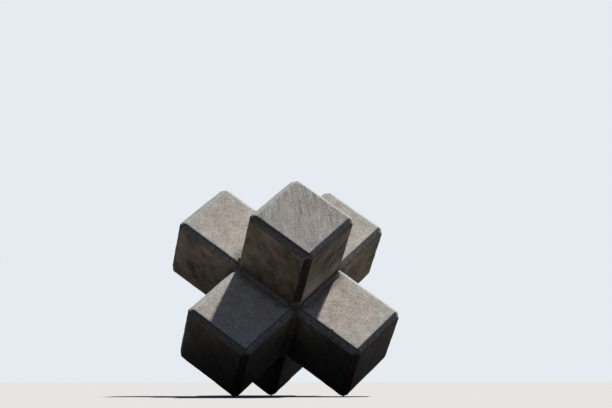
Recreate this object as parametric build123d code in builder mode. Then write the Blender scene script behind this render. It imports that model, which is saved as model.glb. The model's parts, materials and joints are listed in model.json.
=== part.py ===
from build123d import *
from math import asin, degrees, sqrt
import os

# Six-legged wave breaker block, cast in one piece of plain concrete, in millimetres.
# Its body is a cross: three square beams cross at right angles, and their ends are the legs.
# It stands on the tips of three legs, so that the other three point up and outwards.
# +Z is up, and the origin is on the ground, straight under the middle of the block.
# One of the upper legs points to the front, -Y.

# Driving sizes
leg_width = 910  # between opposite sides of a leg
leg_reach = 1365  # from the middle of the block to the end face of a leg
edge_chamfer = 70  # setback of the 45 degree chamfer along the four long edges of a leg
end_chamfer = 70  # setback of the 45 degree chamfer round the end face of a leg
haunch = 60  # setback of the 45 degree haunch that fills the corner between two legs
front_azimuth = -90  # where the first upper leg points, in degrees from +X

# The stance: a beam slopes as the edges of a cube do when the cube stands on its corner
beam_count = 3
leg_slope = degrees(asin(1 / sqrt(beam_count)))

# The lowest point of a leg is a corner of its end, the point where three chamfers meet
tip_out = leg_reach - end_chamfer + edge_chamfer / 2
tip_side = (leg_width - edge_chamfer) / 2
middle_height = (tip_out + 2 * tip_side) / sqrt(beam_count)
block_middle = Vector(0, 0, middle_height)


def beam_axis(turn):
    """The direction of an upper leg. Each turn goes a third of the way round the block."""
    azimuth = front_azimuth + turn * 360 / beam_count
    return Vector(1, 0, 0).rotate(Axis.Y, -leg_slope).rotate(Axis.Z, azimuth)


def plane_across(turn):
    """The plane across one beam at the block's middle, lined up with the beam's sides.

    Its own X runs along the next beam, and its own Y along the one after that.
    """
    return Plane(origin=block_middle, x_dir=beam_axis(turn + 1), z_dir=beam_axis(turn))


def make_beam(turn):
    """One square beam, from the end of an upper leg to the end of the lower leg opposite it.

    Three chamfered outlines cut it, one from each direction, so that at each corner the
    chamfers run on until they meet in a point, as the strips in a mould do.
    """
    with BuildPart() as beam:
        with BuildSketch(plane_across(turn)) as section:
            Rectangle(leg_width, leg_width)
            chamfer(section.vertices(), length=edge_chamfer)
        extrude(amount=leg_reach, both=True)
        with BuildSketch(plane_across(turn + 1)) as first_side:
            Rectangle(leg_width, 2 * leg_reach)
            chamfer(first_side.vertices(), length=end_chamfer)
        extrude(amount=leg_width, both=True, mode=Mode.INTERSECT)
        with BuildSketch(plane_across(turn + 2)) as second_side:
            Rectangle(2 * leg_reach, leg_width)
            chamfer(second_side.vertices(), length=end_chamfer)
        extrude(amount=leg_width, both=True, mode=Mode.INTERSECT)
    return beam.part


def make_haunches(turn):
    """The four haunches whose corners run along one beam axis, with the core between them.

    The haunch faces are the sides of a square turned by 45 degrees. The long chamfers of
    the other two beams run on over the ends of the haunches, and so mitre them.
    """
    face_square = sqrt(2) * (leg_width + haunch)
    mitre_square = sqrt(2) * (leg_width - edge_chamfer)
    with BuildPart() as haunches:
        with BuildSketch(plane_across(turn)):
            Rectangle(face_square, face_square, rotation=45)
        extrude(amount=leg_width, both=True)
        for other_turn in (turn + 1, turn + 2):
            with BuildSketch(plane_across(other_turn)):
                Rectangle(mitre_square, mitre_square, rotation=45)
            extrude(amount=leg_width + haunch, both=True, mode=Mode.INTERSECT)
    return haunches.part


with BuildPart() as cast_block:
    for beam_number in range(beam_count):
        add(make_beam(beam_number))
        add(make_haunches(beam_number))

cast_block.part.label = "cast_block"
os.makedirs("parts", exist_ok=True)
export_step(cast_block.part, "parts/cast_block.step")
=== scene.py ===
# %% [markdown]
# # A weathered concrete wave breaker block
# The real object is one lump of plain concrete, cast in a steel mould and left outdoors for
# years. Its shape is exact and already in the CAD model, so nothing is modelled from nothing
# here. What the model lacks is what time and casting do to such a block: worn arrises, chips,
# air pores, rain streaks and stains. The lesson is how to add them without losing the shape.

import json
from math import cos, degrees, pi, radians, sin

import bmesh
import bpy
import numpy as np
from mathutils import Matrix, Vector


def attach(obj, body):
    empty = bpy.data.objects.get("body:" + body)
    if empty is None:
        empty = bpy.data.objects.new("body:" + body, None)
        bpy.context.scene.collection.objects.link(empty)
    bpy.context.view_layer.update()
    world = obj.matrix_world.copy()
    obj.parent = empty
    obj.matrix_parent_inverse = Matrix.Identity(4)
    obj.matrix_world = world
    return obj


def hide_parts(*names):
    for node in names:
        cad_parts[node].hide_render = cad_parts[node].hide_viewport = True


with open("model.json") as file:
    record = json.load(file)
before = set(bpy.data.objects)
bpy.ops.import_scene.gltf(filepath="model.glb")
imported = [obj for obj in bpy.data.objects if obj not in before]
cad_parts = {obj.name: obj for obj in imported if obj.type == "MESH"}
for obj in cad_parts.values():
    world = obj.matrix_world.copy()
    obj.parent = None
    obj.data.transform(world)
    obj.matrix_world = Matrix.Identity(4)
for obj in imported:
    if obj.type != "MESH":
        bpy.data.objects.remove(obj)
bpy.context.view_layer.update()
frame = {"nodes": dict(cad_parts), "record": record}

# %% [markdown]
# ## The block's own axes
# The block is a cross of three beams that stands on its corner, so none of its faces is
# upright. Measured along its own beams, though, every face lies at a round number. The packed
# record names the middle of each leg's end and the way it points, which gives those axes. The
# sizes that the wear needs are then read off the CAD mesh, so nothing is typed twice.

# %% Find the beams
mounts = {mount["name"]: mount for mount in frame["record"]["mounts"]}
upper_ends = [mounts[name] for name in ("upper_front_end", "upper_right_end", "upper_left_end")]
lower_ends = [mounts[name] for name in ("lower_back_end", "lower_left_end", "lower_right_end")]

# the record's axes are rounded, and this makes them exactly square to each other again
left_turn, _, right_turn = np.linalg.svd(np.array([end["axis"] for end in upper_ends]))
beam_axes = left_turn @ right_turn
block_middle = np.mean([end["pos_m"] for end in upper_ends + lower_ends], axis=0)
leg_reach = np.mean([np.linalg.norm(end["pos_m"] - block_middle) for end in upper_ends])
print("the block's middle is", round(block_middle[2], 4), "m up, and its upper legs point along")
print(beam_axes.round(4))

# %% Measure a leg
CLOSE = 0.001  # metres; two measures nearer than this are the same

cad_block = frame["nodes"]["cast_block"]
corners = np.array([vertex.co for vertex in cad_block.data.vertices])
along_beams = np.abs((corners - block_middle) @ beam_axes.T)
far_out = along_beams[:, 0] > 0.6 * leg_reach  # past the crossing, so on a leg's end
half_width = along_beams[far_out, 1].max()
on_side = np.abs(along_beams[:, 1] - half_width) < CLOSE
shoulder = along_beams[on_side, 0].max()
haunch_foot = along_beams[on_side & (along_beams[:, 0] > half_width + CLOSE), 0].min()
flat_half = half_width - (leg_reach - shoulder)
print(f"leg {2 * half_width:.3f} m wide, {leg_reach:.3f} m long from the middle; "
      f"chamfer {half_width - flat_half:.3f} m, haunch {haunch_foot - half_width:.3f} m")

# %% [markdown]
# ## A surface fine enough to wear
# The CAD mesh has only the corners of each flat face. Wear needs points where the stone wears,
# along the arrises. Subdividing everything that finely would cost millions of faces, and a
# voxel remesh would blunt the chamfers. So a copy is sliced along its own axes instead, at
# levels that lie close together round the chamfers and far apart on the flats. The same levels
# cut a chamfer from both of its sides, so they meet in one line and leave no slivers.

# %% Choose the levels
FINE = 0.010  # metres between slices round a chamfer
COARSE = 0.026  # and on the flats
MARGIN = 3 * FINE  # the fine slices reach this far onto the flats

fine_from = flat_half - MARGIN
fine_to = shoulder - MARGIN


def steps(start, end, size):
    """Levels from start to end that lie about one size apart."""
    return np.linspace(start, end, max(1, round((end - start) / size)) + 1)


levels = np.concatenate([
    steps(0, fine_from, COARSE),
    steps(fine_from, flat_half, FINE),
    steps(flat_half, half_width, FINE),
    steps(half_width, haunch_foot, FINE),
    steps(haunch_foot, fine_to, COARSE),
    steps(fine_to, shoulder, FINE),
    steps(shoulder, leg_reach, FINE),
])
levels = np.unique(np.round(np.concatenate([-levels, levels]), 5))
print(len(levels), "levels along each beam")

# %% Copy the CAD mesh, turned so that its beams lie along the axes
MERGE = 0.0001  # metres; corners nearer than this are one

to_beams = Matrix(beam_axes.tolist()).to_4x4() @ Matrix.Translation(-Vector(block_middle))
surface = bmesh.new()
surface.from_mesh(cad_block.data)
surface.transform(to_beams)
bmesh.ops.remove_doubles(surface, verts=surface.verts, dist=MERGE)
bmesh.ops.dissolve_limit(
    surface, angle_limit=radians(1), verts=surface.verts, edges=surface.edges
)
for vertex in surface.verts:
    vertex.co = [round(value, 4) for value in vertex.co]  # the turn left it a little off
surface.normal_update()
panel_layer = surface.faces.layers.int.new("panel")
for number, face in enumerate(surface.faces):
    face[panel_layer] = number
print(len(surface.faces), "flat panels; their corners:",
      sorted({len(face.verts) for face in surface.faces}))

# %% [markdown]
# Before the panels are cut up, each one's outline is noted. From the outlines come the facts
# that the weathering needs at a point: how near the next arris is, how near the next inner
# corner is, and how far rain has run down the panel since its top edge. The distance is taken
# to each edge as far as it goes, because the leg sides have two notched corners, where the
# line through an edge would run on across the panel.

# %% Note each panel's outline
DOWN = beam_axes @ [0, 0, -1]
STRIP_WIDTH = 0.2  # metres; chamfers and haunches are narrower, and the faces of legs wider


def outline_of(face):
    """The panel's normal, the way water runs down it, and its edges as (start, end, convex)."""
    normal = np.array(face.normal)
    fall = DOWN - DOWN.dot(normal) * normal
    edges = [(np.array(loop.vert.co), np.array(loop.link_loop_next.vert.co), loop.edge.is_convex)
             for loop in face.loops]
    return normal, fall / np.linalg.norm(fall), edges


def width_of(outline):
    """The panel's least width, square to one of its edges."""
    normal, _, edges = outline
    ways_in = [np.cross(normal, end - start) for start, end, _ in edges]
    return min(
        max((point - start) @ way for point, _, _ in edges) / np.linalg.norm(way)
        for (start, _, _), way in zip(edges, ways_in)
    )


outlines = [outline_of(face) for face in surface.faces]
narrow = [width_of(outline) < STRIP_WIDTH for outline in outlines]
leg_end = [abs(edges[0][0] @ normal - leg_reach) < CLOSE for normal, _, edges in outlines]
print(sum(narrow), "chamfers and haunches,", sum(leg_end), "leg ends,",
      len(outlines) - sum(narrow) - sum(leg_end), "leg sides")

# %% Cut the panels
for axis in range(3):
    across = Vector([float(axis == other) for other in range(3)])
    for level in levels:
        bmesh.ops.bisect_plane(
            surface, geom=surface.verts[:] + surface.edges[:] + surface.faces[:],
            dist=MERGE / 2, plane_co=across * level, plane_no=across,
        )
slivers = sum(face.calc_area() < 0.1 * FINE ** 2 for face in surface.faces)
print(len(surface.faces), "faces,", slivers, "of them slivers,",
      sum(not edge.is_manifold for edge in surface.edges), "open edges")

block_mesh = bpy.data.meshes.new("weathered_block")
surface.to_mesh(block_mesh)
surface.free()
block_mesh.attributes.remove(block_mesh.attributes["custom_normal"])

# %% List the mesh's corners, and the panel that each one lies on
corner_vertex = np.zeros(len(block_mesh.loops), int)
block_mesh.loops.foreach_get("vertex_index", corner_vertex)
places = np.zeros(len(block_mesh.vertices) * 3)
block_mesh.vertices.foreach_get("co", places)
places = places.reshape(-1, 3)
face_panel = np.zeros(len(block_mesh.polygons), int)
block_mesh.attributes["panel"].data.foreach_get("value", face_panel)
face_sizes = np.zeros(len(block_mesh.polygons), int)
block_mesh.polygons.foreach_get("loop_total", face_sizes)
corner_panel = np.repeat(face_panel, face_sizes)
print(len(places), "points and", len(corner_vertex), "corners of faces")

# %% Work out the distances on each panel
FAR = 9.0  # metres, for a panel that has no edge of a kind


def distances_on(outline, points):
    """How far points on a panel are from its arrises, inner corners and top edge."""
    normal, fall, edges = outline
    arris, next_arris, valley, below_top = np.full((4, len(points)), FAR)
    for start, end, convex in edges:
        along = (end - start) / np.linalg.norm(end - start)
        length = (end - start) @ along
        nearest = start + np.clip((points - start) @ along, 0, length)[:, None] * along
        away = np.linalg.norm(points - nearest, axis=1)
        if convex:
            next_arris = np.minimum(next_arris, np.maximum(arris, away))
            arris = np.minimum(arris, away)
        else:
            valley = np.minimum(valley, away)
        inward = np.cross(normal, along)
        if inward @ fall > 0.01:
            climb = (points - start) @ inward / (inward @ fall)
            lands_at = (points - climb[:, None] * fall - start) @ along
            lands = (climb > -CLOSE) & (lands_at > -CLOSE) & (lands_at < length + CLOSE)
            below_top = np.where(lands, np.minimum(below_top, climb), below_top)
    return np.maximum([arris, next_arris, valley, below_top], 0)


facts = np.zeros((4, len(corner_vertex)))
fall_map = np.zeros((len(corner_vertex), 2))
for number, outline in enumerate(outlines):
    here = corner_panel == number
    points = places[corner_vertex[here]]
    normal, fall, _ = outline
    facts[:, here] = distances_on(outline, points)
    on_panel = np.column_stack([points @ np.cross(fall, normal), points @ fall])
    fall_map[here] = on_panel + number * np.array([3.7, 1.3])  # no two panels show the same marks
print("the deepest point of a panel is", round(facts[0].max(), 3), "m from its arrises")

# %% Write the facts onto the mesh
def write(name, kind, domain, values):
    """Store one value, or one pair, for each element of a domain of the block's mesh."""
    attribute = block_mesh.attributes.new(name, kind, domain)
    key = "vector" if kind == "FLOAT2" else "value"
    attribute.data.foreach_set(key, np.asarray(values, np.float32).ravel())


for name, distance in zip(("arris", "next_arris"), facts):
    nearest = np.full(len(places), FAR)
    np.minimum.at(nearest, corner_vertex, distance)
    write(name, "FLOAT", "POINT", nearest)
for name, distance in zip(("valley", "below_top"), facts[2:]):
    write(name, "FLOAT", "CORNER", distance)

# three chamfers meet in a point at each of the block's 24 tips, halfway up each chamfer
half_chamfer = (leg_reach - shoulder) / 2
tip = [half_width - half_chamfer, half_width - half_chamfer, leg_reach - half_chamfer]
write("from_tip", "FLOAT", "POINT", np.linalg.norm(np.sort(np.abs(places)) - tip, axis=1))
write("along_leg", "FLOAT", "POINT", np.abs(places).max(axis=1))
write("fall", "FLOAT2", "CORNER", fall_map)
for name, of_panel in (
    ("skyward", [-normal @ DOWN for normal, _, _ in outlines]),
    ("strip", narrow),
    ("leg_end", leg_end),
):
    write(name, "FLOAT", "FACE", np.array(of_panel, float)[face_panel])
block_mesh.attributes.remove(block_mesh.attributes["panel"])
block_mesh.transform(to_beams.inverted())
print("facts on the mesh:", [item.name for item in block_mesh.attributes])

# %% [markdown]
# ## One helper for every node
# Both the tree that shapes the surface and the one that colours it are built in the script.
# One small function is enough for both: it adds a node, sets its properties, and fills each
# input with a value, a colour or a link. Colours are written as the usual sRGB hex codes, as a
# colour picker shows them, and turned into the linear light that Blender reckons with.

# %% Turn a colour into linear light
def linear(hex_colour):
    """The linear red, green, blue and alpha of an sRGB hex code."""
    parts = [int(hex_colour[start:start + 2], 16) / 255 for start in (0, 2, 4)]
    return [p / 12.92 if p <= 0.04045 else ((p + 0.055) / 1.055) ** 2.4 for p in parts] + [1.0]


print("mid grey, 808080, gives back", round(linear("808080")[0], 3), "of the light")

# %% Add a node
MATH = "ShaderNodeMath"
RANGE = "ShaderNodeMapRange"
NOISE = "ShaderNodeTexNoise"
MIX = "ShaderNodeMix"
VECTOR = "ShaderNodeVectorMath"


def add(tree, kind, inputs=(), **settings):
    """Add a node. Its inputs, listed in order or by name, take values, hex colours or links."""
    node = tree.nodes.new(kind)
    for name, value in settings.items():
        setattr(node, name, value)
    sockets = [socket for socket in node.inputs if socket.enabled]
    if isinstance(inputs, dict):
        pairs = [(next(s for s in sockets if s.name == name), value)
                 for name, value in inputs.items()]
    else:
        pairs = zip(sockets, inputs)
    for socket, value in pairs:
        if isinstance(value, bpy.types.Node):
            value = next(output for output in value.outputs if output.enabled)
        if isinstance(value, bpy.types.NodeSocket):
            tree.links.new(value, socket)
        elif socket.type == "RGBA":
            socket.default_value = linear(value)
        else:
            socket.default_value = value
    return node


weathering = bpy.data.node_groups.new("weathering", "GeometryNodeTree")
print("an empty tree called", weathering.name)

# %% [markdown]
# ## Wear, chips and pores
# Sharp concrete arrises crumble first, a little everywhere and more at the corners. Here and
# there a blow has knocked out a chip. The faces show the pores that air bubbles leave against
# a steel mould, most of them 5 to 15 mm wide. All three follow the surface by a rule, so
# Geometry Nodes make them. The wear pushes the surface inwards only, so the block never grows
# past its CAD size. The chips and pores are small solids scattered on it and cut away.

# %% The tree's inputs, in metres
NICK_SIZE = 0.028  # metres from its middle to its skin
NICK_OUT = 0.008  # metres that its middle lies off the stone, to keep it shallow
NICK_ALONG = 0.93  # metres from the block's middle along the lower right leg
nick_on_beams = np.array([half_width + NICK_OUT, -flat_half - NICK_OUT, -NICK_ALONG])
tree_inputs = {}
for name, kind, value in (
    ("Geometry", "NodeSocketGeometry", None),
    ("Arris wear", "NodeSocketFloat", 0.0045),
    ("Corner wear", "NodeSocketFloat", 0.022),
    ("Waviness", "NodeSocketFloat", 0.0015),
    ("Chips per square metre", "NodeSocketFloat", 22.0),
    ("Largest chip", "NodeSocketFloat", 0.030),
    ("Pores per square metre", "NodeSocketFloat", 70.0),
    ("Largest pore", "NodeSocketFloat", 0.0075),
    ("Nick", "NodeSocketVector", block_middle + nick_on_beams @ beam_axes),
    ("Seed", "NodeSocketInt", 7),
    ("Concrete", "NodeSocketMaterial", None),
):
    item = weathering.interface.new_socket(name=name, in_out="INPUT", socket_type=kind)
    tree_inputs[name] = (item.identifier, value)
weathering.interface.new_socket(
    name="Geometry", in_out="OUTPUT", socket_type="NodeSocketGeometry"
)
given = add(weathering, "NodeGroupInput").outputs
print("inputs:", ", ".join(tree_inputs))

# %% [markdown]
# A rounded arris is two planes blended together. Adding up exp(-distance / wear) over the
# planes nearby and taking the logarithm blends them, and wears corners more than edges. Noise
# makes the wear uneven, and the 24 tips, which take every knock, are blunted further.

# %% Worn arrises
from_arris, from_next_arris, from_tip = [
    add(weathering, "GeometryNodeInputNamedAttribute", [name], data_type="FLOAT")
    for name in ("arris", "next_arris", "from_tip")
]
uneven = add(weathering, NOISE, {"Scale": 1 / 0.140, "Detail": 4.0, "Roughness": 0.6})
unevenness = add(weathering, RANGE, [uneven, 0.35, 0.75, 0.35, 2.2])
wear_here = add(weathering, MATH, [given["Arris wear"], unevenness], operation="MULTIPLY")
blend = 1.0
for distance in (from_arris, from_next_arris):
    planes_away = add(weathering, MATH, [distance, wear_here], operation="DIVIDE")
    # the next panel turns off by 45 degrees, so its plane is nearer than its arris
    square_to = add(weathering, MATH, [planes_away, -cos(pi / 4)], operation="MULTIPLY")
    nearness = add(weathering, MATH, [square_to], operation="EXPONENT")
    blend = add(weathering, MATH, [blend, nearness], operation="ADD")
blended = add(weathering, MATH, [blend, 2.718], operation="LOGARITHM")
rounding = add(weathering, MATH, [blended, wear_here], operation="MULTIPLY")
blunting = add(weathering, RANGE, [from_tip, 0.0, 0.055, given["Corner wear"], 0.0])
worn_off = add(weathering, MATH, [rounding, blunting], operation="ADD")
print("worn arrises:", len(weathering.nodes), "nodes so far")

# %% [markdown]
# The flats of a block this large are never quite flat, because the mould's plates bulge a little
# between their ribs. Broad noise of a millimetre or two is enough to make the light on them
# uneven. It is added to the wear, and one Set Position moves every point inwards by the sum.

# %% Wavy flats, and the push inwards
broad_waves = add(weathering, NOISE, {"Scale": 1 / 0.430, "Detail": 3.0})
inward = add(weathering, MATH, [broad_waves, given["Waviness"], worn_off],
             operation="MULTIPLY_ADD")
position = add(weathering, "GeometryNodeInputPosition")
height = add(weathering, "ShaderNodeSeparateXYZ", [position]).outputs["Z"]
off_ground = add(weathering, RANGE, [height, 0.0, 0.06, -0.05, -1.0])  # so that it still stands
push_size = add(weathering, MATH, [inward, off_ground], operation="MULTIPLY")
outward = add(weathering, "GeometryNodeInputNormal")
push = add(weathering, VECTOR, {"Vector": outward, "Scale": push_size}, operation="SCALE")
worn = add(weathering, "GeometryNodeSetPosition", {"Geometry": given["Geometry"], "Offset": push})
print("wear and waves:", len(weathering.nodes), "nodes so far")

# %% [markdown]
# A pore is half a bubble, and a chip is the bed of a lump that broke off an arris. Displacement
# would need a far finer mesh to give them crisp rims. So small solids are scattered on the
# surface and cut away with a boolean, which makes the rims where they are needed. The cut faces
# keep the attributes of the solids that cut them, so the material can colour them.

# %% Shapes to cut away: a ball for a pore, a rough lump for a chip
pore_ball = add(weathering, "GeometryNodeMeshUVSphere", {"Segments": 8, "Rings": 5, "Radius": 1.0})
smooth_lump = add(weathering, "GeometryNodeMeshIcoSphere", {"Radius": 1.0, "Subdivisions": 3})
lump_noise = add(weathering, NOISE, {"Vector": position, "Scale": 1.3, "Detail": 3.0})
lump_size = add(weathering, RANGE, [lump_noise, 0.0, 1.0, -0.45, 0.45])
bulges = add(weathering, VECTOR, {"Vector": outward, "Scale": lump_size}, operation="SCALE")
rough_lump = add(weathering, "GeometryNodeSetPosition",
                 {"Geometry": smooth_lump, "Offset": bulges})
flat_lump = add(weathering, "GeometryNodeTransform",
                {"Geometry": rough_lump, "Scale": (1.0, 0.62, 0.5)})
print("cutters:", len(weathering.nodes), "nodes so far")

# %% Scatter them on the surface
def scatter(cutter, mark, per_area, spacing, density, smallest, largest, lift, seed_step):
    """Put cutters of random size on the worn surface, marked so that the finish finds the cuts."""
    seed = add(weathering, MATH, [given["Seed"], seed_step], operation="ADD")
    spots = add(weathering, "GeometryNodeDistributePointsOnFaces",
                {"Mesh": worn, "Distance Min": spacing, "Density Max": per_area,
                 "Density Factor": density, "Seed": seed},
                distribute_method="POISSON")
    chance = add(weathering, "FunctionNodeRandomValue", {"Seed": seed_step})
    mostly_small = add(weathering, MATH, [chance, 2.2], operation="POWER")
    size = add(weathering, RANGE, [mostly_small, 0.0, 1.0, smallest, largest])
    sized = add(weathering, "GeometryNodeStoreNamedAttribute",
                {"Geometry": spots, "Name": "cut_size", "Value": size},
                data_type="FLOAT", domain="POINT")
    size_here = add(weathering, "GeometryNodeInputNamedAttribute", ["cut_size"], data_type="FLOAT")
    lift_here = add(weathering, MATH, [size_here, lift], operation="MULTIPLY")
    raised = add(weathering, VECTOR, {"Vector": spots.outputs["Normal"], "Scale": lift_here},
                 operation="SCALE")
    lifted = add(weathering, "GeometryNodeSetPosition", {"Geometry": sized, "Offset": raised})
    spin = add(weathering, "FunctionNodeRandomValue",
               {"Max": (2 * pi, 2 * pi, 2 * pi), "Seed": seed_step + 1}, data_type="FLOAT_VECTOR")
    placed = add(weathering, "GeometryNodeInstanceOnPoints",
                 {"Points": lifted, "Instance": cutter, "Rotation": spin, "Scale": size_here})
    solid = add(weathering, "GeometryNodeRealizeInstances", {"Geometry": placed})
    for name in ("skyward", "strip", "leg_end"):
        under_it = add(weathering, "GeometryNodeInputNamedAttribute", [name], data_type="FLOAT")
        solid = add(weathering, "GeometryNodeStoreNamedAttribute",
                    {"Geometry": solid, "Name": name, "Value": under_it},
                    data_type="FLOAT", domain="FACE")
    return add(weathering, "GeometryNodeStoreNamedAttribute",
               {"Geometry": solid, "Name": mark, "Value": 1.0}, data_type="FLOAT", domain="FACE")


patches = add(weathering, NOISE, {"Scale": 1 / 0.330, "Detail": 2.0})
crowding = add(weathering, RANGE, [patches, 0.35, 0.7, 0.1, 1.0])
pore_density = add(weathering, RANGE, [from_arris, 0.012, 0.03, 0.0, crowding])
pores = scatter(pore_ball, "pore", given["Pores per square metre"], spacing=0.026,
                density=pore_density, smallest=0.003, largest=given["Largest pore"],
                lift=0.25, seed_step=11)
on_arris = add(weathering, MATH, [from_arris, 0.008], operation="LESS_THAN")
chips = scatter(flat_lump, "chip", given["Chips per square metre"], spacing=0.12,
                density=on_arris, smallest=0.010, largest=given["Largest chip"],
                lift=0.15, seed_step=23)
print("scattered cuts:", len(weathering.nodes), "nodes so far")

# %% The one nick that is seen from afar, on the lip of the lower right leg
nick = add(weathering, "GeometryNodeTransform",
           {"Geometry": rough_lump, "Translation": given["Nick"], "Scale": [NICK_SIZE] * 3})
marked_nick = add(weathering, "GeometryNodeStoreNamedAttribute",
                  {"Geometry": nick, "Name": "chip", "Value": 1.0},
                  data_type="FLOAT", domain="FACE")
all_chips = add(weathering, "GeometryNodeJoinGeometry", {"Geometry": chips})
weathering.links.new(marked_nick.outputs[0], all_chips.inputs[0])
print("the nick is at", [round(value, 3) for value in tree_inputs["Nick"][1]])

# %% Cut them out, and finish the tree
cut = worn
for cutters in (all_chips, pores):
    cut = add(weathering, "GeometryNodeMeshBoolean", {"Mesh 1": cut, "Mesh 2": cutters},
              operation="DIFFERENCE", solver="MANIFOLD")
smooth = add(weathering, "GeometryNodeSetShadeSmooth", {"Geometry": cut}, domain="FACE")
bend = add(weathering, "GeometryNodeInputMeshEdgeAngle").outputs["Unsigned Angle"]
sharp_bend = add(weathering, MATH, [bend, 0.65], operation="GREATER_THAN")
crisp = add(weathering, "GeometryNodeSetShadeSmooth",
            {"Geometry": smooth, "Selection": sharp_bend, "Shade Smooth": False}, domain="EDGE")
realized = add(weathering, "GeometryNodeRealizeInstances", {"Geometry": crisp})
finished = add(weathering, "GeometryNodeSetMaterial",
               {"Geometry": realized, "Material": given["Concrete"]})
add(weathering, "NodeGroupOutput", {"Geometry": finished})
print("weathering tree:", len(weathering.nodes), "nodes")

# %% [markdown]
# ## The concrete
# This is plain mass concrete, cast in an oiled steel mould. To the eye that is a matt skin of
# cement, grey with a warm cast, that dried unevenly and stays greyer near the arrises. The ends
# of the legs are darker, and rain draws thin dark runs down them. Undersides never get washed,
# so dust and algae turn them brown. They are also painted darker as shade, as are the chamfers
# that face sideways or down, the inner corners and the pores. A flat image could not follow 138
# panels that all slope differently, so the colours are driven by the distances on the mesh, and
# every face weathers as its slope asks.

# %% Read the facts
concrete = bpy.data.materials.new("weathered_cast_concrete")
concrete.use_nodes = True
nodes = concrete.node_tree
nodes.nodes.clear()
place = add(nodes, "ShaderNodeTexCoord").outputs["Object"]
across_here, front_here, height_here = add(nodes, "ShaderNodeSeparateXYZ", [place]).outputs
skyward, strip, end_face, below_top, arris, valley, along_leg, in_pore, in_chip = [
    add(nodes, "ShaderNodeAttribute", attribute_name=name).outputs["Fac"]
    for name in ("skyward", "strip", "leg_end", "below_top", "arris", "valley", "along_leg",
                 "pore", "chip")
]
print("read off the mesh and its place:", len(nodes.nodes), "nodes")

# %% [markdown]
# Concrete varies at every size, from clouds half as wide as a leg down to single grains, so
# noises of seven sizes share the work. A noise with a Scale of 1 shows about one mark a metre,
# and so Scale is 1 over the distance between marks. Real sand is 1 to 4 mm, too fine to show in
# a picture of the whole block, so it is drawn at 8 to 22 mm, with finer sand only as the
# noises' own detail.

# %% The marks, by their distance apart in metres, their detail and roughness
clouds, drifts, blotches, specks, grains, grit, sand = [
    add(nodes, NOISE,
        {"Vector": place, "Scale": 1 / apart, "Detail": detail, "Roughness": roughness})
    for apart, detail, roughness in (
        (0.450, 3.0, 0.55),
        (0.320, 2.0, 0.55),
        (0.110, 4.0, 0.60),
        (0.031, 3.0, 0.65),
        (0.012, 4.0, 0.65),
        (0.022, 4.0, 0.65),
        (0.0077, 3.0, 0.65),
    )
]
SOFT = {"interpolation_type": "SMOOTHSTEP"}
COLOUR = {"data_type": "RGBA"}


def coat(below, colour, pattern, low, high, most, *where):
    """Lay a colour over the one below, more of it as a pattern goes from low to high."""
    share = add(nodes, RANGE, [pattern, low, high, 0.0, most], **SOFT)
    for limit in where:
        share = add(nodes, MATH, [share, limit], operation="MULTIPLY")
    return add(nodes, MIX, [share, below, colour], **COLOUR)


def plus_shares(start, *shares):
    """Patterns added by their shares to a distance, which makes it ragged, or to nothing."""
    for pattern, share in shares:
        start = add(nodes, MATH, [pattern, share, start], operation="MULTIPLY_ADD")
    return start


print("patterns:", len(nodes.nodes), "nodes so far")

# %% The cement skin
tone = add(nodes, RANGE, [
    plus_shares(0.0, (clouds, 0.08), (blotches, 0.22), (specks, 0.28), (grains, 0.42)),
    0.38, 0.62, 0.0, 1.0,
])
warm_skin = add(nodes, MIX, [tone, "7E766F", "CBC2B8"], **COLOUR)
grey_skin = add(nodes, MIX, [tone, "7D7E7A", "C8C8C3"], **COLOUR)
patchy_skin = coat(warm_skin, grey_skin, drifts, 0.45, 0.75, 0.55)
skin = coat(patchy_skin, grey_skin, plus_shares(arris, (blotches, -0.12)), 0.05, -0.01, 0.80)
end_skin = add(nodes, MIX, [end_face, skin, "EDEFF3"], blend_type="MULTIPLY", **COLOUR)
strip_tone = add(nodes, MIX, [tone, "7A7978", "ABAAA8"], **COLOUR)
clean = coat(end_skin, strip_tone, strip, 0.0, 1.0, 0.70)
print("cement skin:", len(nodes.nodes), "nodes so far")

# %% [markdown]
# Rain runs straight down a slope, so its marks can't be placed in space: each panel has a map
# of its own, the fall map, whose second axis is the way water runs. Noise on that map is drawn
# out along it. It wanders a little, because nothing on rough concrete runs quite straight.

# %% Marks that run down the slope
fall_place = add(nodes, "ShaderNodeUVMap", uv_map="fall")
sway = add(nodes, NOISE, {"Vector": place, "Scale": 1 / 0.200, "Detail": 3.0, "Roughness": 0.55})
wander = add(nodes, VECTOR, [sway.outputs["Color"], (0.03, 0.03, 0.0), fall_place],
             operation="MULTIPLY_ADD")


def runs(wide, long):
    """Marks so many metres wide and long, drawn out down the slope."""
    drawn = add(nodes, "ShaderNodeMapping",
                {"Vector": wander, "Scale": (1 / wide, 1 / long, 1.0)})
    return add(nodes, NOISE, {"Vector": drawn, "Scale": 1.0, "Detail": 2.0, "Roughness": 0.5})


how_far = add(nodes, RANGE, [runs(0.06, 9.0), 0.30, 0.70, 0.12, 0.95], **SOFT)
share_of_way = add(nodes, MATH, [below_top, how_far], operation="DIVIDE")
still_runs = add(nodes, RANGE, [share_of_way, 0.25, 1.0, 1.0, 0.0], **SOFT)
broken_up = add(nodes, RANGE, [blotches, 0.34, 0.58, 0.35, 1.0], **SOFT)
sees_sky = add(nodes, RANGE, [skyward, 0.05, 0.45, 0.0, 1.0], **SOFT)
wetness = add(nodes, RANGE, [end_face, 0.0, 1.0, 0.25, 1.0])
rained_on = add(nodes, MATH, [sees_sky, wetness], operation="MULTIPLY")
rained = coat(clean, "625E5A", runs(0.011, 0.16), 0.38, 0.66, 0.40, rained_on, broken_up)
rained = coat(rained, "625F5B", runs(0.080, 0.60), 0.46, 0.70, 0.28, rained_on)
rained = coat(rained, "524E4A", runs(0.020, 0.40), 0.50, 0.70, 0.60, rained_on, still_runs,
              broken_up)
print("rain:", len(nodes.nodes), "nodes so far")

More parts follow.
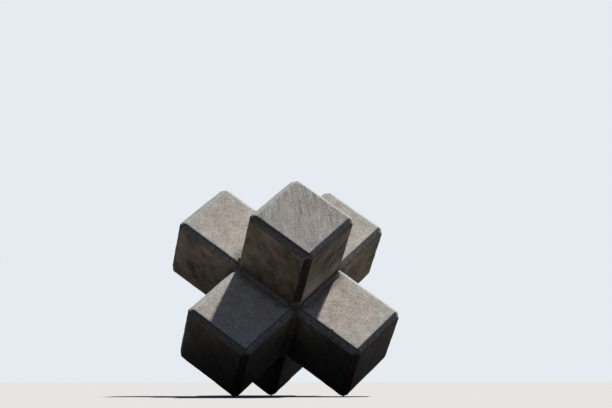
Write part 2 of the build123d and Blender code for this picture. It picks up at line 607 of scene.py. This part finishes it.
# %% [markdown]
# A few marks belong to this one block: a dark run down the middle of its front end, and fine
# ripples that a worn mould left low on the upper left leg. They could be painted on an image,
# but each is simple enough to be a distance from a line or a point, made ragged with noise.

# %% One clear run down the middle of the front end, and the mould's ripples on the left leg
from_middle = add(nodes, MATH, [plus_shares(across_here, (blotches, 0.03))], operation="ABSOLUTE")
on_front = add(nodes, RANGE, [front_here, -0.90, -0.96, 0.0, end_face], **SOFT)
above_end = add(nodes, RANGE, [height_here, 2.02, 2.09, 0.0, 1.0], **SOFT)
below_start = add(nodes, RANGE, [height_here, 2.27, 2.20, 0.0, 1.0], **SOFT)
marked = coat(rained, "55504C", from_middle, 0.016, 0.006, 0.55, on_front, above_end, below_start)

RIPPLES = (-0.567, -0.250, 1.688)  # low on the side of the upper left leg
RIPPLE_SPACING = 0.030
down_here = add(nodes, "ShaderNodeSeparateXYZ", [fall_place]).outputs["Y"]
turns = add(nodes, MATH, [down_here, 2 * pi / RIPPLE_SPACING], operation="MULTIPLY")
wave = add(nodes, MATH, [plus_shares(turns, (blotches, 6.0), (specks, 2.0))], operation="SINE")
from_ripples = add(nodes, VECTOR, [place, RIPPLES], operation="DISTANCE")
among_ripples = add(nodes, RANGE, [from_ripples, 0.15, 0.05, 0.0, 1.0], **SOFT)
ripples = add(nodes, RANGE, [wave, -0.2, 0.9, 0.0, among_ripples], **SOFT)
marked = coat(marked, "6A645E", ripples, 0.0, 1.0, 0.50)
print("single marks:", len(nodes.nodes), "nodes so far")

# %% [markdown]
# Rain washes the upper faces and never reaches the lower ones, where dust, algae and the damp
# from the ground collect. So the undersides get darker colours of their own, brown and olive,
# which come in as a face turns from the sky. They are partly dust and algae and partly painted
# shade. A mask painted by hand would show the same, but this one follows from the slope and so is
# right on the sides that no one thinks of painting. One pale patch, low on the front leg and set
# by its place, is painted bounce light. Towards the feet the undersides get painted shade, dark
# and bluish.

# %% Undersides: dust, algae and painted shade, pale where water creeps, a patch of painted bounce light, and painted shade towards the feet
# painted light: the pale patch that light bounced from the lower right leg leaves on the front leg
PAINTED_BOUNCE_LIGHT = (0.14, -0.80, 1.16)  # low on the right side of the front leg

mottled = add(nodes, RANGE, [
    plus_shares(0.0, (clouds, 0.36), (blotches, 0.34), (specks, 0.18), (grains, 0.12)),
    0.40, 0.60, 0.0, 1.0,
])
brown = add(nodes, MIX, [mottled, "5C4E44", "AD9B8C"], **COLOUR)
olive = add(nodes, MIX, [mottled, "56534A", "A49C8D"], **COLOUR)
underside_stain_and_shade = coat(olive, brown, drifts, 0.40, 0.60, 1.0)
creep = add(nodes, RANGE, [clouds, 0.40, 0.58, 0.0, 1.0], **SOFT)
underside_stain_and_shade = coat(underside_stain_and_shade, "C0B5A8", runs(0.22, 0.9), 0.46, 0.66, 0.50, creep)
underside_stain_and_shade = coat(underside_stain_and_shade, "42352D", runs(0.15, 0.7), 0.50, 0.68, 0.45)

from_painted_bounce = add(nodes, VECTOR, [place, PAINTED_BOUNCE_LIGHT], operation="DISTANCE")
painted_bounce_right = add(nodes, RANGE, [across_here, 0.01, 0.04, 0.0, 1.0], **SOFT)
painted_bounce_above_foot = add(nodes, RANGE, [height_here, 0.97, 1.03, 0.0, 1.0], **SOFT)
ragged = plus_shares(from_painted_bounce, (blotches, 0.30))
# the pale patch is painted bounce light, not a stain
underside_stain_and_shade = coat(underside_stain_and_shade, "CFCBC5", ragged, 0.52, 0.20, 0.88, painted_bounce_right, painted_bounce_above_foot)

# painted shade: the undersides turn dark and bluish towards the feet, partly damp
underside_stain_and_shade = coat(underside_stain_and_shade, "171B23", plus_shares(height_here, (blotches, -0.5)), 0.85, 0.10, 0.88)
# the undersides darken by their slope: dust and algae, and painted shade
stained_and_shaded = coat(marked, underside_stain_and_shade, skyward, -0.05, -0.45, 0.92)
print("undersides:", len(nodes.nodes), "nodes so far")

# %% [markdown]
# The chamfers are cast against strips in the corners of the mould, where thin mortar leaks out
# and leaves a coarse skin that holds dirt. Each one is a panel of its own on the mesh, so the
# strip attribute picks them out exactly, as no guess from the surface's curvature could, and the
# distance from the top edge draws the dark line under each lip. Those that face sideways or down
# are also painted darker, as painted shade.

# %% Chamfers and haunches that face sideways or down: darker and coarser than the faces, partly dirt and partly painted shade
band_tone = add(nodes, RANGE, [
    plus_shares(0.0, (grains, 0.35), (specks, 0.65)),
    0.38, 0.62, 0.0, 1.0,
])
band_dirt_and_shade = add(nodes, MIX, [band_tone, "5E5D5D", "9D9A98"], **COLOUR)
band_dirt_and_shade = coat(band_dirt_and_shade, "877D74", runs(0.05, 0.25), 0.50, 0.68, 0.45)
# the end chamfers are darker and bluish: coarse skin, and painted shade
band_dirt_and_shade = coat(band_dirt_and_shade, "37363D", along_leg, shoulder - 0.01, shoulder + 0.01, 0.50)
band_dirt_and_shade = coat(band_dirt_and_shade, underside_stain_and_shade, plus_shares(below_top, (blotches, -0.16)), -0.05, 0.04, 0.40)
band_dirt_and_shade = coat(band_dirt_and_shade, "252528", plus_shares(below_top, (specks, -0.04)), 0.020, -0.008, 0.50)
# the band comes in as a chamfer turns sideways or down: its darkness is dirt and painted shade
banded_and_shaded = coat(stained_and_shaded, band_dirt_and_shade, skyward, 0.30, -0.02, 0.94, strip)

# water drips off the lowest chamfers and stains them, and as the faces that look furthest down
# they also carry the darkest painted shade, but not where they flare out
drip_tone = add(nodes, RANGE, [
    plus_shares(0.0, (runs(0.03, 0.4), 0.5), (blotches, 0.5)),
    0.40, 0.62, 0.0, 1.0,
])
drip_stain_and_shade = add(nodes, MIX, [drip_tone, "2A2420", "4C4036"], **COLOUR)
wet_line = add(nodes, RANGE, [blotches, 0.30, 0.50, 0.65, 0.95], **SOFT)
past_haunch = add(nodes, RANGE, [along_leg, haunch_foot, haunch_foot + 0.05, 0.0, 1.0], **SOFT)
dripping_and_shaded = coat(banded_and_shaded, drip_stain_and_shade, skyward, -0.68, -0.78, 1.0, wet_line, past_haunch)
print("chamfers:", len(nodes.nodes), "nodes so far")

# %% [markdown]
# Last come the marks of use and painted shade: pale mortar where an arris is rubbed, dirt and
# painted shade in the inner corners, painted shade in the pores, and soil on the feet with
# painted shade near the ground. A Pointiness node would find the edges too, but its answer
# changes with the fineness of the mesh, and the distances on the mesh don't. The pores of about
# 5 mm are too many to cut, so they are only dark dots of painted shade, one in every fifth cell
# of a pattern of 18 mm cells.

# %% Worn edges, inner corners, pores, chips and soil, with painted shade in the corners, the pores and near the ground
worn_spots = add(nodes, RANGE, [specks, 0.42, 0.58, 0.0, sees_sky], **SOFT)
edged = coat(dripping_and_shaded, "C4BDB3", arris, 0.010, 0.0, 0.35, worn_spots)
# dirt and painted shade in the inner corners
corner_dirt_and_shade = coat(edged, "3A3632", valley, 0.09, 0.0, 0.50)
# pores too small to cut are dark dots: painted shade in the holes
pinhole_cells = add(nodes, "ShaderNodeTexVoronoi", {"Vector": place, "Scale": 1 / 0.018})
lot = add(nodes, "ShaderNodeSeparateColor", [pinhole_cells.outputs["Color"]])
chosen = add(nodes, MATH, [lot, 0.80], operation="GREATER_THAN")  # one cell in five
pinholes = add(nodes, RANGE, [pinhole_cells.outputs["Distance"], 0.20, 0.12, 0.0, chosen], **SOFT)
holed_and_shaded = coat(corner_dirt_and_shade, "3A3531", pinholes, 0.0, 1.0, 0.60)
# the cut pores are darkened as painted shade
holed_and_shaded = coat(holed_and_shaded, "2B2724", in_pore, 0.0, 1.0, 0.75)
broken_stone = add(nodes, MIX, [band_tone, "6C6660", "8D867D"], **COLOUR)
chipped = coat(holed_and_shaded, broken_stone, in_chip, 0.0, 1.0, 0.55)
# darker towards the ground: soil on the feet, and painted shade
soiled_and_shaded = coat(chipped, "3E362D", plus_shares(height_here, (blotches, -0.30)), 0.18, -0.12, 0.65)
print("edges, pores and soil:", len(nodes.nodes), "nodes so far")

# %% [markdown]
# Sand grains and cement are too fine for the mesh, so a bump of up to 3 mm stands in for them.
# Concrete's IOR is about 1.5, but a surface this rough swallows nearly all of its own sheen. Its
# specular level is far below the usual 0.5 for that reason, and its roughness is 0.9.

# %% Surface grain, and the material's output
relief_height = plus_shares(0.0, (grit, 1.0), (sand, 0.5), (ripples, -0.8), (pinholes, -0.8))
relief = add(nodes, "ShaderNodeBump",
             {"Strength": 0.5, "Distance": 0.003, "Height": relief_height})
body = add(nodes, "ShaderNodeBsdfPrincipled",
           {"Base Color": soiled_and_shaded, "Roughness": 0.9, "IOR": 1.5, "Specular IOR Level": 0.08,
            "Normal": relief})
add(nodes, "ShaderNodeOutputMaterial", {"Surface": body})
print("concrete material:", len(nodes.nodes), "nodes")

# %% [markdown]
# ## The weathered block
# The modifier is given its material and sizes, and its result is kept as a plain mesh. That
# mesh takes the place of the CAD block in the picture, and rides on the same body.

# %% Weather the block
block = bpy.data.objects.new("weathered_block", block_mesh)
bpy.context.scene.collection.objects.link(block)
modifier = block.modifiers.new("weathering", "NODES")
modifier.node_group = weathering
for name, (identifier, value) in tree_inputs.items():
    if name == "Concrete":
        modifier[identifier] = concrete
    elif value is not None:
        modifier[identifier] = value
bpy.context.view_layer.update()
depsgraph = bpy.context.evaluated_depsgraph_get()
weathered_mesh = bpy.data.meshes.new_from_object(
    block.evaluated_get(depsgraph), preserve_all_data_layers=True, depsgraph=depsgraph
)
block.modifiers.clear()  # from here on it is a plain mesh
block.data = weathered_mesh
weathered_mesh.calc_loop_triangles()
print(len(weathered_mesh.polygons), "faces,", len(weathered_mesh.loop_triangles), "triangles;",
      "layers", [item.name for item in weathered_mesh.attributes])

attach(block, "root")
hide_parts("cast_block")

# %% [markdown]
# ## Floor, light and camera
# The floor is plain and pale. One soft lamp stands high on the right and a little behind,
# where the light comes from in the photograph, and the world fills the shade, more from the
# front right than from the back left. Seen directly, the floor and the world look pale, but
# the light that they give back to the block is lower, as dark ground gives.

# %% The floor
FLOOR_REACH = 60.0  # metres from its middle to each side
floor_mesh = bpy.data.meshes.new("studio_floor")
floor_corners = [(x * FLOOR_REACH, y * FLOOR_REACH, 0.0)
                 for x, y in ((-1, -1), (1, -1), (1, 1), (-1, 1))]
floor_mesh.from_pydata(floor_corners, [], [(0, 1, 2, 3)])
floor = bpy.data.objects.new("studio_floor", floor_mesh)
bpy.context.scene.collection.objects.link(floor)


def seen_directly(tree):
    """1 for rays that show a surface or its reflection, 0 for rays that carry its light."""
    path = add(tree, "ShaderNodeLightPath").outputs
    seen = add(tree, MATH, [path["Is Camera Ray"], path["Is Glossy Ray"]], operation="MAXIMUM")
    return add(tree, MATH, [seen, path["Is Transmission Ray"]], operation="MAXIMUM")


pale_floor = bpy.data.materials.new("pale_floor_paint")
pale_floor.use_nodes = True
paint = pale_floor.node_tree
paint.nodes.clear()
floor_place = add(paint, "ShaderNodeTexCoord").outputs["Object"]
from_block = add(paint, VECTOR, [floor_place], operation="LENGTH")
# the ground under the block and beside it gives back the least
open_ground = add(paint, RANGE, [from_block, 2.0, 3.4, 0.0, 1.0])
given_back = add(paint, MIX, [open_ground, "1E2123", "5C574E"], **COLOUR)
floor_colour = add(paint, MIX, [seen_directly(paint), given_back, "A5A6A7"], **COLOUR)
floor_coat = add(paint, "ShaderNodeBsdfDiffuse", {"Color": floor_colour})
add(paint, "ShaderNodeOutputMaterial", {"Surface": floor_coat})
floor_mesh.materials.append(pale_floor)
print("a floor", 2 * FLOOR_REACH, "m square, with", len(paint.nodes), "nodes")

# %% The lamp and the world
key_way = Vector((0.415, 0.190, 0.890))  # from the block towards the lamp
key = bpy.data.lights.new("soft_key", "SUN")
key.energy = 7.2
key.angle = radians(3)  # so that shadow edges soften a little with distance
key.color = linear("FFFBF5")[:3]
key_object = bpy.data.objects.new("soft_key", key)
key_object.rotation_euler = key_way.to_track_quat("Z", "Y").to_euler()
key_object.location = Vector(block_middle) + 10 * key_way
bpy.context.scene.collection.objects.link(key_object)

world = bpy.data.worlds.new("studio")
bpy.context.scene.world = world
world.use_nodes = True
sky = world.node_tree
sky.nodes.clear()
sky_way = add(sky, "ShaderNodeTexCoord").outputs["Generated"]
front_right = add(sky, VECTOR, [sky_way, (0.5, -0.866, 0.0)], operation="DOT_PRODUCT")
strength = add(sky, RANGE, [front_right, -1.0, 1.0, 0.07, 0.22])
fill = add(sky, "ShaderNodeBackground", {"Color": "B5D0FC", "Strength": strength})
backdrop = add(sky, "ShaderNodeBackground", {"Color": "E6EBF1", "Strength": 1.0})
shown = add(sky, "ShaderNodeMixShader", [seen_directly(sky), fill, backdrop])
add(sky, "ShaderNodeOutputWorld", {"Surface": shown})
print("the lamp stands", round(90 - degrees(key_way.angle(Vector((0, 0, 1))))), "degrees high")

# %% The camera
camera_data = bpy.data.cameras.new("camera")
camera_data.sensor_width = 36.0
camera_data.lens = 95.2
camera_data.clip_end = 500
camera_azimuth = radians(11.55)  # the camera stands this far to the left of the front leg
camera_distance = 19.38
camera_height = 0.22
camera = bpy.data.objects.new("camera", camera_data)
bpy.context.scene.collection.objects.link(camera)
bpy.context.scene.camera = camera
rise = camera_height - block_middle[2]
run = (camera_distance ** 2 - rise ** 2) ** 0.5
camera.location = Vector(block_middle) + Vector(
    (-sin(camera_azimuth) * run, -cos(camera_azimuth) * run, rise))
look = (Vector(block_middle) - camera.location).normalized()
to_right = look.cross(Vector((0, 0, 1))).normalized()
to_top = to_right.cross(look)
# the block stands a little left of the picture's middle, and low in it
aim = Vector(block_middle) + 0.274 * to_right + 1.04 * to_top
camera.rotation_mode = "QUATERNION"
camera.rotation_quaternion = (aim - camera.location).to_track_quat("-Z", "Y")
bpy.context.scene.view_settings.view_transform = "Standard"
print("camera at", [round(value, 2) for value in camera.location])
